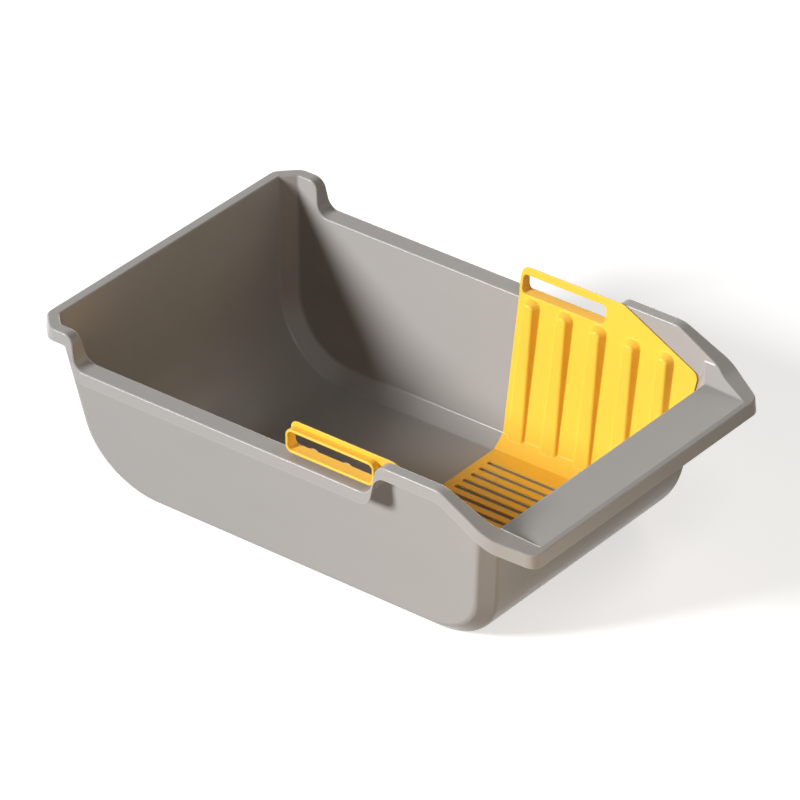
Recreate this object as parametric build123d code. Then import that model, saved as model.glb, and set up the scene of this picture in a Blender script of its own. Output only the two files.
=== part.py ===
"""Litter tray with a lift-out slotted insert.

Two mouldings: a deep open tray with a turned-down rim, and a U-shaped insert that
stands on the tray floor behind the low front and is lifted out by its handles.
+X is the low front where the animal walks in, +Z is up, the ground is z = 0.
All lengths are in millimetres.
"""
import math
import os

from build123d import *

# Overall sizes of the tray. The rim's outline is that of its high top edge.
rim_low = 162.6
rim_rise = 33.8
rim_high = rim_low + rim_rise
rim_half_width = 195.53
rim_back = -300.03
rim_front = 293.53
wall = 2.4
floor_thick = 2.4

# Inside of the tray: how far each wall stands inside the rim's outline, and how far it
# leans (run per rise). Side and back are placed at the high rim, the front at the ledge.
rim_side_width = 12.62
side_inner = rim_half_width - rim_side_width
side_lean_share = 0.163
rim_back_width = 11.43
back_inner = rim_back + rim_back_width
back_lean_share = 0.137
ledge_length = 49.33
front_inner = rim_front - ledge_length
front_lean_share = 0.15
ledge_drop = 4.6
ledge_height = rim_low - ledge_drop
ledge_fall_share = 0.052
back_round = 91.0
front_round = 71.3
ledge_round = 2.8
panel_chamfer = 13.6
crease_round = 4.4

# Rim: a plate with a drafted skirt that steps up at the back and beside the handles.
rim_draft_angle = 5.7
skirt_drop = 12.6
skirt_drop_front = 14.7
skirt_wall = 2.4
high_back_length = 51.93
step_back = rim_back + high_back_length
high_front_length = 172.93
step_front = rim_front - high_front_length
step_run = 6.2
step_round = 13.0
shoulder_setback = 96.43
shoulder_end = rim_front - shoulder_setback
shoulder_round = 26.0
slope_setback = 32.33
slope_end = rim_front - slope_setback
slope_rise = 2.7
slope_low = rim_low + slope_rise
slope_round = 60.0
nose_fall_share = 0.313
rim_edge_round = 1.9
rim_inner_round = 1.9
corner_back_x = 20.5
corner_back_y = 20.5
corner_back_round = 14.0
corner_front_x = 40.5
corner_front_y = 20.2
corner_front_round = 10.0
corner_side_round = 45.0

# Handle loops of the insert, over the low part of the rim and behind its front step.
loop_wall = 3.2
loop_rest_gap = 2.7
loop_step_gap = 6.6
loop_overhang = 7.29
loop_reach = side_inner + loop_overhang
loop_edge_round = 1.4
grip_length = 101.0
grip_end = step_front - loop_step_gap
grip_start = grip_end - grip_length
grip_height = 19.8
grip_low = rim_low + loop_rest_gap + loop_wall
grip_high = grip_low + grip_height
grip_round = 4.6
grip_edge_round = 1.0

# Slotted insert: a U-shaped moulding with a floor and two side plates.
insert_wall = 1.8
insert_gap = 0.4
insert_lift = 0.8
rear_bar = 3.0
insert_rear = grip_start - rear_bar
insert_floor_setback = 94.2
insert_floor_end = front_inner - insert_floor_setback
top_bar = 8.5
insert_top = grip_high + top_bar
insert_nose_gap = 0.4
insert_corner_round = 9.0
insert_edge_round = 0.7
slant_gap = 20.1
slant_start = grip_end + slant_gap
slant_fall_share = 0.4365
slant_round = 14.0
nose_round = 9.0

# Slots in the insert's floor and the pads it stands on.
slot_pitch = 13.38
slot_width = 6.0
slot_side_bar = 16.9
slot_rear_bar = 10.2
slot_start = insert_rear + slot_rear_bar
slot_front_bar = 8.0
slot_end = insert_floor_end - slot_front_bar
pad_width = 5.0
pad_every = 4

# Ribs pressed into the side plates of the insert: size at the plate, and depth.
rib_setback = 16.9
rib_first = insert_rear + rib_setback
rib_pitch = 40.8
rib_nose_gap = 38.0
rib_last = front_inner - panel_chamfer - rib_nose_gap
rib_count = 1 + int((rib_last - rib_first) // rib_pitch)
rib_width = 20.8
rib_round = 9.4
rib_grip_gap = 2.1
rib_top = grip_low - rib_grip_gap
rib_depth_top = 8.6
rib_depth_low = 3.3
rib_draft_angle = 31.5
rib_wall = 1.6
rib_edge_round = 3.4
rib_root_round = 1.4
rib_rise_share = 0.55

# Length that cutting bodies run past the faces they cut.
overrun = 40.0

# Face directions: parts of a unit normal that tell walls, bands and flat faces apart.
upright_share = 0.9
level_share = 0.3
flat_share = 0.01


def line_cross(first, second):
    """Point where two lines cross, each given as a point and a direction."""
    (ax, ay), (adx, ady) = first
    (bx, by), (bdx, bdy) = second
    spread = adx * bdy - ady * bdx
    along = ((bx - ax) * bdy - (by - ay) * bdx) / spread
    return (ax + adx * along, ay + ady * along)


def shifted_path(points, shift):
    """Open path moved by `shift` to the right of its direction, corners kept sharp."""
    lines = []
    for start, end in zip(points, points[1:]):
        dx, dy = end[0] - start[0], end[1] - start[1]
        size = math.hypot(dx, dy)
        base = (start[0] + dy / size * shift, start[1] - dx / size * shift)
        lines.append((base, (dx, dy)))
    first = lines[0][0]
    last = lines[-1]
    middle = [line_cross(a, b) for a, b in zip(lines, lines[1:])]
    return [first] + middle + [(last[0][0] + last[1][0], last[0][1] + last[1][1])]


def rounded_face(points, rounds):
    """Closed flat face through `points`, with corner `rounds` given by point index."""
    face = make_face(Polyline(*points, close=True))
    for index, radius in rounds.items():
        spot = Vector(*points[index])
        corner = min(face.vertices(), key=lambda v: (Vector(v.X, v.Y) - spot).length)
        face = fillet(corner, radius)
    return face


def along_width(face, half_width):
    """Solid from a side-view face (x, z) run across the tray to both sides."""
    placed = Plane.XZ * face
    return extrude(placed, amount=half_width, both=True)


def rim_path():
    """Side view of the rim's top, from behind the back edge to past the front."""
    half = step_run / 2
    past_front = rim_front + overrun
    return [
        (rim_back - overrun, rim_high),
        (step_back - half, rim_high),
        (step_back + half, rim_low),
        (step_front - half, rim_low),
        (step_front + half, rim_high),
        (shoulder_end, rim_high),
        (slope_end, slope_low),
        (past_front, slope_low - (past_front - slope_end) * nose_fall_share),
    ]


def rim_rounds(shift):
    """Corner rounds of the rim path moved down by `shift`, by point index."""
    return {
        1: step_round - shift,
        2: step_round + shift,
        3: step_round + shift,
        4: step_round - shift,
        5: shoulder_round - shift,
        6: slope_round + shift,
    }


def below_rim(shift, floor_level):
    """Everything under the rim path, down to a level."""
    path = shifted_path(rim_path(), shift)
    points = path + [(path[-1][0], floor_level), (path[0][0], floor_level)]
    return along_width(rounded_face(points, rim_rounds(shift)), rim_half_width + overrun)


def above_skirt():
    """Everything over the skirt's lower edge, right across."""
    top = rim_path()
    drops = [skirt_drop] * (len(top) - 1) + [skirt_drop_front]
    low = [(x, z - drop) for (x, z), drop in zip(top, drops)]
    lid = rim_high + overrun
    points = low + [(low[-1][0], lid), (low[0][0], lid)]
    return along_width(rounded_face(points, rim_rounds(0)), rim_half_width + overrun)


def rim_outline(inset):
    """Drafted block inside the rim's outer faces, moved in by `inset`."""
    rise = 2 * wall
    lid = rim_high + rise
    shrink = rise * math.tan(math.radians(rim_draft_angle)) + inset
    back, front, side = rim_back + shrink, rim_front - shrink, rim_half_width - shrink
    half = [
        (back, side - corner_back_y),
        (back + corner_back_x, side),
        (front - corner_front_x, side),
        (front, side - corner_front_y),
    ]
    points = [(x, -y) for x, y in half] + half[::-1]
    sizes = [corner_back_round, corner_back_round, corner_side_round, corner_front_round]
    rounds = {}
    for index, size in enumerate(sizes + sizes[::-1]):
        rounds[index] = size - inset
    face = Pos(0, 0, lid) * rounded_face(points, rounds)
    return extrude(face, amount=lid + overrun, dir=(0, 0, -1), taper=-rim_draft_angle)


def side_wedge(grow):
    """Block between the two leaning side walls, moved outwards by `grow`."""
    lean_side = math.hypot(1, side_lean_share) * grow
    low, high = -overrun, rim_high + 2 * overrun
    low_half = side_inner + lean_side - (rim_high - low) * side_lean_share
    high_half = side_inner + lean_side + (high - rim_high) * side_lean_share
    section = [(-low_half, low), (low_half, low), (high_half, high), (-high_half, high)]
    face = Plane.YZ * make_face(Polyline(*section, close=True))
    return extrude(face, amount=rim_front - rim_back, both=True)


def edge_pairs(body):
    """Every edge of a body with the two faces that meet there."""
    found = {}
    for face in body.faces():
        for edge in face.edges():
            found.setdefault(hash(edge), (edge, []))[1].append(face)
    return [(edge, faces) for edge, faces in found.values() if len(faces) == 2]


def chamfered_block(points, rounds, grow, kept):
    """Side-view face run between the side walls, its long edges chamfered.

    `kept` tells whether an edge of a side wall takes the chamfer. The creases
    on both sides of the chamfer band are rounded.
    """
    body = along_width(rounded_face(points, rounds), rim_half_width + overrun)
    body = body & side_wedge(grow)
    edges = []
    for panel in body.faces():
        if abs(panel.normal_at().Y) > upright_share:
            edges += [edge for edge in panel.edges() if kept(edge)]
    body = chamfer(edges, panel_chamfer + grow / 2)
    creases = []
    for edge, faces in edge_pairs(body):
        turned = [abs(face.normal_at().Y) for face in faces]
        bands = [level_share < turn < upright_share for turn in turned]
        if any(bands) and not all(bands) and kept(edge):
            creases.append(edge)
    return fillet(creases, crease_round + grow)


def tub(grow):
    """Block that fills the tray, moved outwards by `grow` on every face."""
    lean_back = math.hypot(1, back_lean_share) * grow
    lean_front = math.hypot(1, front_lean_share) * grow
    top = rim_high + overrun
    back_line = ((back_inner - lean_back, rim_high), (back_lean_share, -1))
    front_line = ((front_inner + lean_front, ledge_height), (front_lean_share, 1))
    ledge_line = ((front_inner, ledge_height - grow), (1, -ledge_fall_share))
    floor_line = ((0, floor_thick - grow), (1, 0))
    lid_line = ((0, top), (1, 0))
    far_line = ((rim_front + overrun, 0), (0, 1))
    rear_line = ((0, 0), (0, 1))
    deep = [
        line_cross(lid_line, back_line),
        line_cross(back_line, floor_line),
        line_cross(floor_line, front_line),
        line_cross(front_line, lid_line),
    ]
    deep_rounds = {1: back_round + grow, 2: front_round + grow}

    def under_lid(edge):
        return edge.position_at(1 / 2).Z < top - wall

    def lengthwise(edge):
        return under_lid(edge) and abs(edge.tangent_at(1 / 2).X) > 1 / 2

    body = chamfered_block(deep, deep_rounds, grow, under_lid)
    shelf = [
        line_cross(rear_line, lid_line),
        line_cross(rear_line, ledge_line),
        line_cross(ledge_line, far_line),
        line_cross(far_line, lid_line),
    ]
    body = body + chamfered_block(shelf, {}, grow, lengthwise)
    x, z = line_cross(front_line, ledge_line)
    brow = Vector(x, 0, z)
    edge = min(body.edges(), key=lambda item: (item.position_at(1 / 2) - brow).length)
    return fillet(edge, ledge_round)


def rim_distance(spot):
    """Distance from a point to the rim's path, both seen from the side."""
    path = [Vector(x, z) for x, z in rim_path()]
    here = Vector(spot.X, spot.Z)
    best = math.inf
    for start, end in zip(path, path[1:]):
        run = end - start
        along = (here - start).dot(run) / run.dot(run)
        nearest = start + run * min(max(along, 0), 1)
        best = min(best, (here - nearest).length)
    return best


def rim_edges(body):
    """Edges where the rim's top meets the skirt or an inside wall."""
    edges = []
    for edge, faces in edge_pairs(body):
        normals = [face.normal_at() for face in faces]
        tops = [abs(n.Y) < flat_share and n.Z > level_share for n in normals]
        if any(tops) and not all(tops) and rim_distance(edge.position_at(1 / 2)) < wall:
            edges.append(edge)
    return edges


def tray():
    """Deep tray with its ledge and rim, one moulding."""
    cavity = tub(0)
    skin = tub(wall)
    outline = rim_outline(0)
    body = (skin + (above_skirt() & outline)) & outline
    body = body & below_rim(0, -overrun)
    body = fillet(rim_edges(body), rim_edge_round)
    hollow = (below_rim(wall, -overrun) & rim_outline(skirt_wall)) - skin
    body = body - hollow - cavity
    return fillet(rim_edges(body), rim_inner_round)


def insert_section(shift):
    """Right half of the insert's cross-section line, outer face moved in by `shift`.

    Points run from above the side plate down to the middle of the floor.
    """
    size = math.hypot(1, side_lean_share)
    foot = side_inner + (floor_thick - rim_high) * side_lean_share
    crease_y = foot + panel_chamfer * side_lean_share / size
    crease_z = floor_thick + panel_chamfer / size
    high = insert_top + overrun
    walls = [
        (side_inner + (high - rim_high) * side_lean_share, high),
        (crease_y, crease_z),
        (foot - panel_chamfer, floor_thick),
        (0, floor_thick),
    ]
    moved = shifted_path(walls, insert_gap + shift)
    level = floor_thick + insert_lift + shift
    band = (moved[1], (moved[2][0] - moved[1][0], moved[2][1] - moved[1][1]))
    moved[2] = line_cross(band, ((0, level), (1, 0)))
    moved[3] = (0, level)
    return moved


def insert_block(shift):
    """Solid inside the insert's cross-section line, run along the tray."""
    half = insert_section(shift)[:3]
    points = half + [(-y, z) for y, z in reversed(half)]
    round_size = max(crease_round - insert_gap - shift, insert_edge_round)
    rounds = {index: round_size for index in (1, 2, 3, 4)}
    face = Plane.YZ * rounded_face(points, rounds)
    return extrude(face, amount=rim_front - rim_back, both=True)


def insert_outline():
    """Side view of the insert, run right across."""
    size = math.hypot(1, side_lean_share)
    foot = floor_thick + panel_chamfer / size + crease_round
    nose_line = (
        (front_inner - panel_chamfer - insert_nose_gap - insert_gap, ledge_height),
        (front_lean_share, 1),
    )
    slant_line = ((slant_start, insert_top), (1, -slant_fall_share))
    points = [
        (insert_rear, -overrun),
        (insert_floor_end, -overrun),
        (insert_floor_end, foot),
        line_cross(((0, foot), (1, 0)), nose_line),
        line_cross(slant_line, nose_line),
        (slant_start, insert_top),
        (insert_rear, insert_top),
    ]
    low_round = front_round - panel_chamfer
    rounds = {3: low_round, 4: nose_round, 5: slant_round, 6: insert_corner_round}
    return along_width(rounded_face(points, rounds), rim_half_width + overrun)


def rib(index, side, inset):
    """One rib of a side plate, wide at the plate and narrow at its front face.

    Ribs over the insert's floor run down to it, the others end above the plate's
    edge. `inset` moves every face in, for the hollow behind the rib.
    """
    slope = math.tan(math.radians(rib_draft_angle))
    side_inset = inset / math.cos(math.radians(rib_draft_angle))
    low_y, low_z = insert_section(insert_wall)[1]
    top_y = low_y + (rib_top - low_z) * side_lean_share
    low = Vector(0, side * low_y, low_z)
    top = Vector(0, side * top_y, rib_top)
    up = (top - low).normalized()
    across = Vector(1, 0, 0)
    inward = Vector(0, -side * up.Z, side * up.Y)
    back = insert_wall + insert_gap
    spare = back * slope - side_inset
    x = rib_first + index * rib_pitch
    past = x + rib_width / 2 - insert_floor_end
    foot = past * rib_rise_share + rib_round if past > 0 else -2 * rib_round
    length = (top - low).length - foot
    middle = top - up * (length / 2) + across * x
    face = RectangleRounded(rib_width + 2 * spare, length + 2 * spare, rib_round + spare)
    plane = Plane(origin=middle - inward * back, x_dir=across, z_dir=inward)
    body = extrude(plane * face, amount=back + rib_depth_top, taper=rib_draft_angle)
    front_low = low + inward * rib_depth_low
    front_up = (top + inward * rib_depth_top - front_low).normalized()
    outward = Vector(0, side * front_up.Z, -side * front_up.Y)
    origin = front_low + across * middle.X + outward * inset
    plane = Plane(origin=origin, x_dir=across, z_dir=outward)
    body = body & extrude(plane * Rectangle(2 * rib_width, 3 * length), amount=length)
    front = []
    for edge in body.edges():
        if abs((edge.position_at(1 / 2) - origin).dot(outward)) < flat_share * rib_width:
            front.append(edge)
    return fillet(front, max(rib_edge_round - inset, insert_edge_round))


def grip_prism(grow):
    """Handle opening run across the insert, moved outwards by `grow`."""
    points = [
        (grip_start - grow, grip_low - grow),
        (grip_end + grow, grip_low - grow),
        (grip_end + grow, grip_high + grow),
        (grip_start - grow, grip_high + grow),
    ]
    rounds = {index: grip_round + grow for index in range(len(points))}
    return along_width(rounded_face(points, rounds), loop_reach)


def grip_edges(body):
    """Edges of the handle openings on the inner faces of the side plates."""
    low_y, low_z = insert_section(insert_wall)[1]
    near = insert_edge_round
    edges = []
    for edge in body.edges():
        spot = edge.position_at(1 / 2)
        face_y = low_y + (spot.Z - low_z) * side_lean_share
        on_face = abs(abs(spot.Y) - face_y) < flat_share * near
        beside = grip_start - near < spot.X < grip_end + near
        if on_face and beside and grip_low - near < spot.Z < grip_high + near:
            edges.append(edge)
    return edges


def slot_places():
    """Distances of the slots from the middle, as many as the insert's floor has room for."""
    room = insert_section(insert_wall)[2][0] - slot_side_bar
    slot_count = int((2 * room + slot_pitch - slot_width) // slot_pitch)
    return [(index - (slot_count - 1) / 2) * slot_pitch for index in range(slot_count)]


def floor_slots():
    """Long slots with round ends, side by side across the insert's floor."""
    body = Part()
    length = slot_end - slot_start
    middle = (slot_end + slot_start) / 2
    for y in slot_places():
        face = Pos(middle, y) * SlotOverall(length, slot_width)
        body += extrude(face, amount=overrun / 2)
    return body


def floor_pads():
    """Low pads under the bars between the slots, standing on the tray's floor."""
    body = Part()
    length = slot_end - slot_start
    middle = (slot_end + slot_start) / 2
    places = slot_places()
    bars = [(first + second) / 2 for first, second in zip(places, places[1:])]
    for y in bars[pad_every // 2::pad_every]:
        low = Pos(middle, y, floor_thick)
        body += low * Box(length, pad_width, insert_lift + insert_wall / 2,
                          align=(Align.CENTER, Align.CENTER, Align.MIN))
    return body


def insert():
    """Slotted insert with ribbed side plates and handle loops, one moulding."""
    outer = insert_block(0)
    inner = insert_block(insert_wall)
    outline = insert_outline()
    body = (outer - inner) & outline
    rims = []
    for edge, faces in edge_pairs(body):
        flat = [abs(face.normal_at().Y) < flat_share for face in faces]
        if any(flat) and not all(flat):
            rims.append(edge)
    body = fillet(rims, insert_edge_round)
    for side in (1, -1):
        for index in range(rib_count):
            solid = rib(index, side, 0) & outer & outline
            joined = body + solid
            joined = fillet(new_edges(body, solid, combined=joined), rib_root_round)
            body = joined - rib(index, side, rib_wall)
    loops = grip_prism(loop_wall) - grip_prism(0) - side_wedge(-insert_gap - insert_wall)
    ends = [face for face in loops.faces() if abs(face.normal_at().Y) > 1 - flat_share]
    loops = fillet([edge for face in ends for edge in face.edges()], loop_edge_round)
    body = body + loops - grip_prism(0)
    body = fillet(grip_edges(body), grip_edge_round)
    return body - floor_slots() + floor_pads()


if __name__ == "__main__":
    os.makedirs("parts", exist_ok=True)
    base = tray()
    # The frame's origin lies under the middle of the tray.
    shift = Pos(-base.bounding_box().center().X, 0, 0)
    export_step(shift * base, "parts/tray.step")
    export_step(shift * insert(), "parts/insert.step")
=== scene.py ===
"""Litter tray with a lift-out slotted insert: its finishes, the floor, the lamps and the camera.

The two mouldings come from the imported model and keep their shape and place. This script
gives each its moulded plastic and sets up a plain studio round it. Lengths are in metres in
the part's own frame: +X is the low front where the animal walks in, +Z is up.
"""
import logging
import math
from dataclasses import dataclass
from enum import Enum
from typing import Any

import bmesh
import bpy
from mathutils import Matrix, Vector


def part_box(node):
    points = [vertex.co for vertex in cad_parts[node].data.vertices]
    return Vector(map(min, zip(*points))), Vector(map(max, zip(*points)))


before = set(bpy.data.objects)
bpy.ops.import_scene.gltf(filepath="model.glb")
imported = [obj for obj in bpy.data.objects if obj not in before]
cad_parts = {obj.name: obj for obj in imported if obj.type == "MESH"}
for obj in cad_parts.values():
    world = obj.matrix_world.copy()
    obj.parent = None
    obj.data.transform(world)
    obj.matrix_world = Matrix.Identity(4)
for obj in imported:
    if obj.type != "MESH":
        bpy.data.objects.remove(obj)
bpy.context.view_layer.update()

log = logging.getLogger("litter_tray")

MM = 0.001
POLYPROPYLENE_IOR = 1.49
WHITE = "#FFFFFF"


class Moulding(Enum):
    """The two mouldings of the object, by the name of their node."""

    TRAY = "tray"
    INSERT = "insert"


class LampRole(Enum):
    """What a lamp does in the studio.

    The key lights the near side, the far wall and the far plate. The fill softens the shade
    inside, and the rim lights the far and back outsides. The kicker lights the skirt under the
    ledge, and the top lamp the ledge and the insert's floor.
    """

    KEY = "key"
    FILL = "fill"
    RIM = "rim"
    KICKER = "kicker"
    TOP = "top"


def linear(hex_colour: str) -> tuple[float, float, float, float]:
    """Turn an sRGB hex colour into the linear colour that shaders use.

    Args:
        hex_colour: Colour such as "#A8A49E".

    Returns:
        Linear red, green, blue and an alpha of 1.
    """
    parts = [int(hex_colour[i:i + 2], 16) / 255 for i in (1, 3, 5)]
    red, green, blue = (p / 12.92 if p <= 0.04045 else ((p + 0.055) / 1.055) ** 2.4 for p in parts)
    return red, green, blue, 1.0


def add_node(tree: bpy.types.NodeTree, kind: str, inputs: dict[Any, Any] | None = None,
             **settings: Any) -> bpy.types.Node:
    """Add a node, set its properties, and fill or link its sockets.

    Args:
        tree: Node tree that gets the node.
        kind: Blender's name of the node type.
        inputs: Socket name or index to a value, or to the output socket that feeds it.
        **settings: Properties of the node itself.

    Returns:
        The new node.
    """
    node = tree.nodes.new(kind)
    for name, value in settings.items():
        setattr(node, name, value)
    for socket, value in (inputs or {}).items():
        if isinstance(value, bpy.types.NodeSocket):
            tree.links.new(value, node.inputs[socket])
        else:
            node.inputs[socket].default_value = value
    return node


def empty_tree(owner: bpy.types.Material | bpy.types.World) -> bpy.types.NodeTree:
    """Switch an owner to nodes and clear its tree.

    Args:
        owner: Material or world that gets nodes.

    Returns:
        The owner's node tree with nothing in it.
    """
    owner.use_nodes = True
    owner.node_tree.nodes.clear()
    return owner.node_tree


@dataclass(frozen=True)
class MouldedPolypropylene:
    """Injection-moulded polypropylene with a spark-eroded, satin surface.

    The tool's erosion leaves a fine even grain, so highlights are soft and only rounded creases
    catch a line of light. The melt mixes slightly unevenly, which gives a faint, long mottling
    of the colour along the flow. Outer edges are painted paler, partly as wear and partly as a
    painted highlight along them.
    """

    name: str
    colour: str
    pale_colour: str
    worn_and_highlight_colour: str
    hollow_roughness: float
    crest_roughness: float
    gloss_level: float
    translucency: float = 0.0
    scatter_mm: tuple[float, float, float] = (1.0, 1.0, 1.0)
    grain_mm: float = 1.1
    grain_depth_mm: float = 0.02
    grain_detail: float = 2.0
    grain_harshness: float = 0.6
    flow_mm: float = 55.0
    flow_stretch: float = 2.6
    flow_detail: float = 3.0
    flow_harshness: float = 0.5
    edge_mm: float = 1.1
    edge_samples: int = 6
    flat_openness: float = 0.9
    edge_openness: float = 0.45
    worn_and_highlight_share: float = 0.6

    def build(self) -> bpy.types.Material:
        """Make the material.

        Returns:
            The material with its node tree.
        """
        material = bpy.data.materials.new(self.name)
        tree = empty_tree(material)
        place = add_node(tree, "ShaderNodeTexCoord").outputs["Object"]
        colour = self._colour(tree, place)
        grain = self._grain(tree, place)
        rough = add_node(tree, "ShaderNodeMapRange", {
            "Value": grain,
            "To Min": self.hollow_roughness,
            "To Max": self.crest_roughness,
        })
        relief = add_node(tree, "ShaderNodeBump", {
            "Strength": 1.0,
            "Distance": self.grain_depth_mm * MM,
            "Height": grain,
        })
        shader = add_node(tree, "ShaderNodeBsdfPrincipled", {
            "Base Color": colour,
            "Roughness": rough.outputs["Result"],
            "Normal": relief.outputs["Normal"],
            "IOR": POLYPROPYLENE_IOR,
            "Specular IOR Level": self.gloss_level,
            "Subsurface Weight": self.translucency,
            "Subsurface Radius": tuple(value * MM for value in self.scatter_mm),
            "Subsurface Scale": 1.0,
        })
        add_node(tree, "ShaderNodeOutputMaterial", {"Surface": shader.outputs["BSDF"]})
        return material

    def _colour(self, tree: bpy.types.NodeTree, place: bpy.types.NodeSocket) -> bpy.types.NodeSocket:
        """Mottle the colour along the melt flow and paint the outer edges paler, part wear and part
        painted highlight.

        Args:
            tree: Node tree that gets the nodes.
            place: Object coordinates.

        Returns:
            The colour socket.
        """
        stretched = add_node(tree, "ShaderNodeMapping", {
            "Vector": place,
            "Scale": (1 / self.flow_stretch, 1.0, 1.0),
        })
        flow = add_node(tree, "ShaderNodeTexNoise", {
            "Vector": stretched.outputs["Vector"],
            "Scale": 1 / (self.flow_mm * MM),
            "Detail": self.flow_detail,
            "Roughness": self.flow_harshness,
        })
        mottled = add_node(tree, "ShaderNodeMix", {
            "Factor": flow.outputs["Fac"],
            "A": linear(self.colour),
            "B": linear(self.pale_colour),
        }, data_type="RGBA")
        # Measured inside the wall, openness is full under a flat face and low at an outer edge.
        inside = add_node(tree, "ShaderNodeAmbientOcclusion", {
            "Distance": self.edge_mm * MM,
        }, samples=self.edge_samples, inside=True, only_local=True)
        # Outer edges get a paler colour: part wear, part painted highlight along the edges.
        worn_and_highlight_mask = add_node(tree, "ShaderNodeMapRange", {
            "Value": inside.outputs["AO"],
            "From Min": self.flat_openness,
            "From Max": self.edge_openness,
            "To Min": 0.0,
            "To Max": self.worn_and_highlight_share,
        })
        worn_and_highlit = add_node(tree, "ShaderNodeMix", {
            "Factor": worn_and_highlight_mask.outputs["Result"],
            "A": mottled.outputs[2],
            "B": linear(self.worn_and_highlight_colour),
        }, data_type="RGBA")
        return worn_and_highlit.outputs[2]

    def _grain(self, tree: bpy.types.NodeTree, place: bpy.types.NodeSocket) -> bpy.types.NodeSocket:
        """Erosion grain; the real 0.2 mm would not show, so it is drawn coarser.

        Args:
            tree: Node tree that gets the nodes.
            place: Object coordinates.

        Returns:
            The grain's height socket.
        """
        grain = add_node(tree, "ShaderNodeTexNoise", {
            "Vector": place,
            "Scale": 1 / (self.grain_mm * MM),
            "Detail": self.grain_detail,
            "Roughness": self.grain_harshness,
        })
        return grain.outputs["Fac"]


GREY_POLYPROPYLENE = MouldedPolypropylene(
    name="warm_grey_polypropylene",
    colour="#A3A09E",
    pale_colour="#A8A5A3",
    worn_and_highlight_colour="#B9B6B3",
    hollow_roughness=0.19,
    crest_roughness=0.26,
    gloss_level=0.24,
)

YELLOW_POLYPROPYLENE = MouldedPolypropylene(
    name="yellow_polypropylene",
    colour="#FDC646",
    pale_colour="#FDC94E",
    worn_and_highlight_colour="#FDD36E",
    hollow_roughness=0.24,
    crest_roughness=0.31,
    gloss_level=0.13,
    translucency=0.08,
    scatter_mm=(1.2, 0.6, 0.2),
)


@dataclass
class DressedMoulding:
    """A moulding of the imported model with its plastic."""

    part: Moulding
    finish: MouldedPolypropylene

    def dress(self) -> bpy.types.Object:
        """Give every material slot of the node the moulding's plastic.

        Returns:
            The node's object.
        """
        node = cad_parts[self.part.value]
        material = self.finish.build()
        for index in range(len(node.data.materials)):
            node.data.materials[index] = material
        low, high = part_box(self.part.value)
        size = [round(value / MM) for value in high - low]
        log.info("%s: %s, %s mm", self.part.value, self.finish.name, size)
        return node


def seen_rays(tree: bpy.types.NodeTree) -> bpy.types.NodeSocket:
    """Share that is 1 for rays that show the background: camera, gloss and transmission.

    Args:
        tree: Node tree that gets the nodes.

    Returns:
        The share's socket.
    """
    rays = add_node(tree, "ShaderNodeLightPath").outputs
    seen = add_node(tree, "ShaderNodeMath", {
        0: rays["Is Camera Ray"],
        1: rays["Is Glossy Ray"],
    }, operation="MAXIMUM")
    seen = add_node(tree, "ShaderNodeMath", {
        0: seen.outputs["Value"],
        1: rays["Is Transmission Ray"],
    }, operation="MAXIMUM")
    return seen.outputs["Value"]


@dataclass
class StudioFloor:
    """Plain floor that looks white round the object's shadow and bounces a little warm light.

    The glow and the lit share add up to white, and the share is what the shadow takes away.
    The floor lies a hair below the base, so that the two faces do not fight.
    """

    radius: float = 8.0
    sides: int = 96
    drop_mm: float = 0.2
    bounce_colour: str = "#5C564D"
    white_glow: float = 0.62
    shadow_share: float = 0.7

    def build(self) -> bpy.types.Object:
        """Make the floor.

        Returns:
            The floor's object.
        """
        mesh = bpy.data.meshes.new("floor")
        shape = bmesh.new()
        bmesh.ops.create_circle(shape, cap_ends=True, segments=self.sides, radius=self.radius)
        shape.to_mesh(mesh)
        shape.free()
        floor = bpy.data.objects.new("floor", mesh)
        bpy.context.scene.collection.objects.link(floor)
        floor.location.z = -self.drop_mm * MM
        mesh.materials.append(self._paint())
        return floor

    def _paint(self) -> bpy.types.Material:
        """Floor paint: white with a shadow to the camera and in gloss, dim and warm as bounce.

        Returns:
            The floor's material.
        """
        material = bpy.data.materials.new("floor_paint")
        tree = empty_tree(material)
        bounce = add_node(tree, "ShaderNodeBsdfDiffuse", {"Color": linear(self.bounce_colour)})
        glow = add_node(tree, "ShaderNodeEmission", {"Strength": self.white_glow})
        share = self.shadow_share
        catcher = add_node(tree, "ShaderNodeBsdfDiffuse", {"Color": (share, share, share, 1.0)})
        white = add_node(tree, "ShaderNodeAddShader", {
            0: glow.outputs["Emission"],
            1: catcher.outputs["BSDF"],
        })
        mixed = add_node(tree, "ShaderNodeMixShader", {
            "Fac": seen_rays(tree),
            1: bounce.outputs["BSDF"],
            2: white.outputs["Shader"],
        })
        add_node(tree, "ShaderNodeOutputMaterial", {"Surface": mixed.outputs["Shader"]})
        return material


@dataclass
class StudioWorld:
    """Faint even light from all round, with a white background."""

    colour: str = "#FFF6EA"
    strength: float = 0.01

    def build(self) -> bpy.types.World:
        """Make the world and use it.

        Returns:
            The scene's world.
        """
        world = bpy.data.worlds.new("studio_world")
        bpy.context.scene.world = world
        tree = empty_tree(world)
        ambient = add_node(tree, "ShaderNodeBackground", {
            "Color": linear(self.colour),
            "Strength": self.strength,
        })
        white = add_node(tree, "ShaderNodeBackground", {"Color": linear(WHITE), "Strength": 1.0})
        mixed = add_node(tree, "ShaderNodeMixShader", {
            "Fac": seen_rays(tree),
            1: ambient.outputs["Background"],
            2: white.outputs["Background"],
        })
        add_node(tree, "ShaderNodeOutputWorld", {"Surface": mixed.outputs["Shader"]})
        return world


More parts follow.
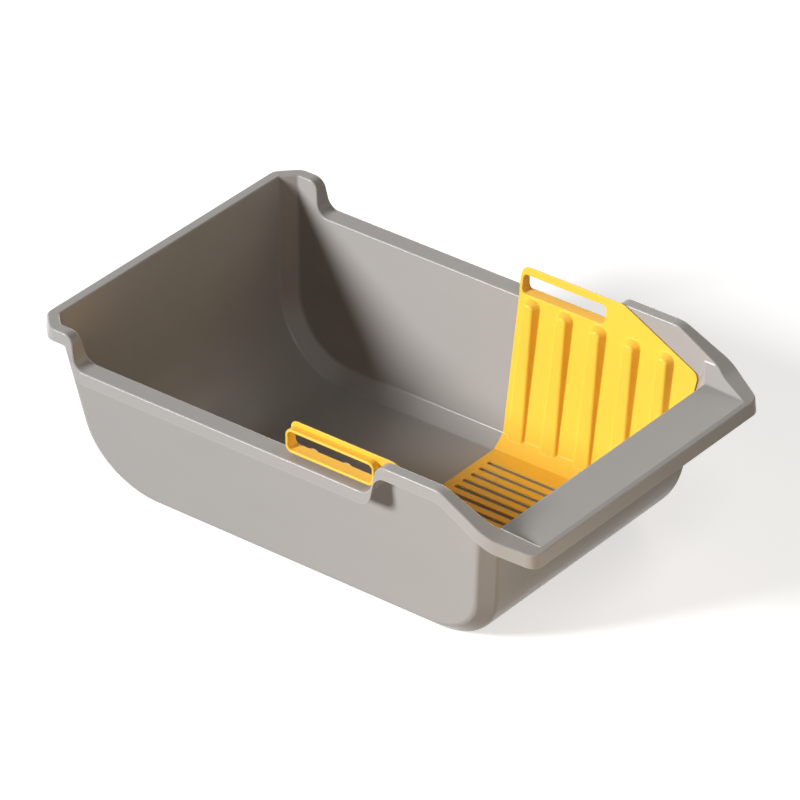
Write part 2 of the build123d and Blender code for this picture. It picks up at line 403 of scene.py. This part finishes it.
@dataclass
class SoftBox:
    """Round soft box that points at the middle of the object's base."""

    role: LampRole
    place: tuple[float, float, float]
    width: float
    power: float
    colour: str = WHITE

    def build(self) -> bpy.types.Object:
        """Make the lamp.

        Returns:
            The lamp's object.
        """
        data = bpy.data.lights.new(self.role.value, "AREA")
        data.shape = "DISK"
        data.size = self.width
        data.energy = self.power
        data.color = linear(self.colour)[:3]
        lamp = bpy.data.objects.new(self.role.value, data)
        bpy.context.scene.collection.objects.link(lamp)
        lamp.location = self.place
        lamp.rotation_mode = "QUATERNION"
        lamp.rotation_quaternion = Vector(self.place).to_track_quat("Z", "Y")
        lamp.visible_camera = False
        return lamp


STUDIO_LAMPS = (
    SoftBox(LampRole.KEY, place=(-6.97, -11.82, 6.06), width=3.75, power=3110.0),
    SoftBox(LampRole.FILL, place=(3.88, 3.88, 2.42), width=4.0, power=36.0, colour="#FFF2D4"),
    SoftBox(LampRole.RIM, place=(-3.4, 10.8, 3.0), width=8.0, power=640.0, colour="#FFF8EC"),
    SoftBox(LampRole.KICKER, place=(0.75, -0.52, 0.1), width=0.4, power=2.45, colour="#FFE8CC"),
    SoftBox(LampRole.TOP, place=(0.6, 0.0, 0.9), width=0.4, power=1.1),
)


@dataclass
class StudioCamera:
    """Long lens at the photograph's viewing angle; the angles are in degrees."""

    azimuth: float = 38.12
    elevation: float = 31.87
    distance: float = 6.4518
    field_of_view: float = 6.89
    target: tuple[float, float, float] = (0.0001, 0.0, 0.1248)
    sensor_mm: float = 36.0
    reach: float = 100.0

    def build(self) -> bpy.types.Object:
        """Make the camera and use it.

        Returns:
            The camera's object.
        """
        data = bpy.data.cameras.new("camera")
        data.sensor_width = self.sensor_mm
        data.lens = self.sensor_mm / 2 / math.tan(math.radians(self.field_of_view / 2))
        data.clip_end = self.reach
        camera = bpy.data.objects.new("camera", data)
        bpy.context.scene.collection.objects.link(camera)
        turn = math.radians(self.azimuth)
        rise = math.radians(self.elevation)
        back = Vector((math.sin(turn) * math.cos(rise), -math.cos(turn) * math.cos(rise), math.sin(rise)))
        camera.location = Vector(self.target) + back * self.distance
        camera.rotation_mode = "QUATERNION"
        camera.rotation_quaternion = back.to_track_quat("Z", "Y")
        bpy.context.scene.camera = camera
        return camera


def main() -> None:
    """Dress the mouldings, then build the floor, the lamps, the camera and the world."""
    logging.basicConfig(level=logging.INFO, format="%(name)s: %(message)s")
    bpy.context.scene.view_settings.view_transform = "Standard"
    DressedMoulding(Moulding.TRAY, GREY_POLYPROPYLENE).dress()
    DressedMoulding(Moulding.INSERT, YELLOW_POLYPROPYLENE).dress()
    stage = [StudioFloor().build()]
    stage += [lamp.build() for lamp in STUDIO_LAMPS]
    stage.append(StudioCamera().build())
    StudioWorld().build()
    for item in stage:
        log.info("stage: %s", item.name)


if __name__ == "__main__":
    main()
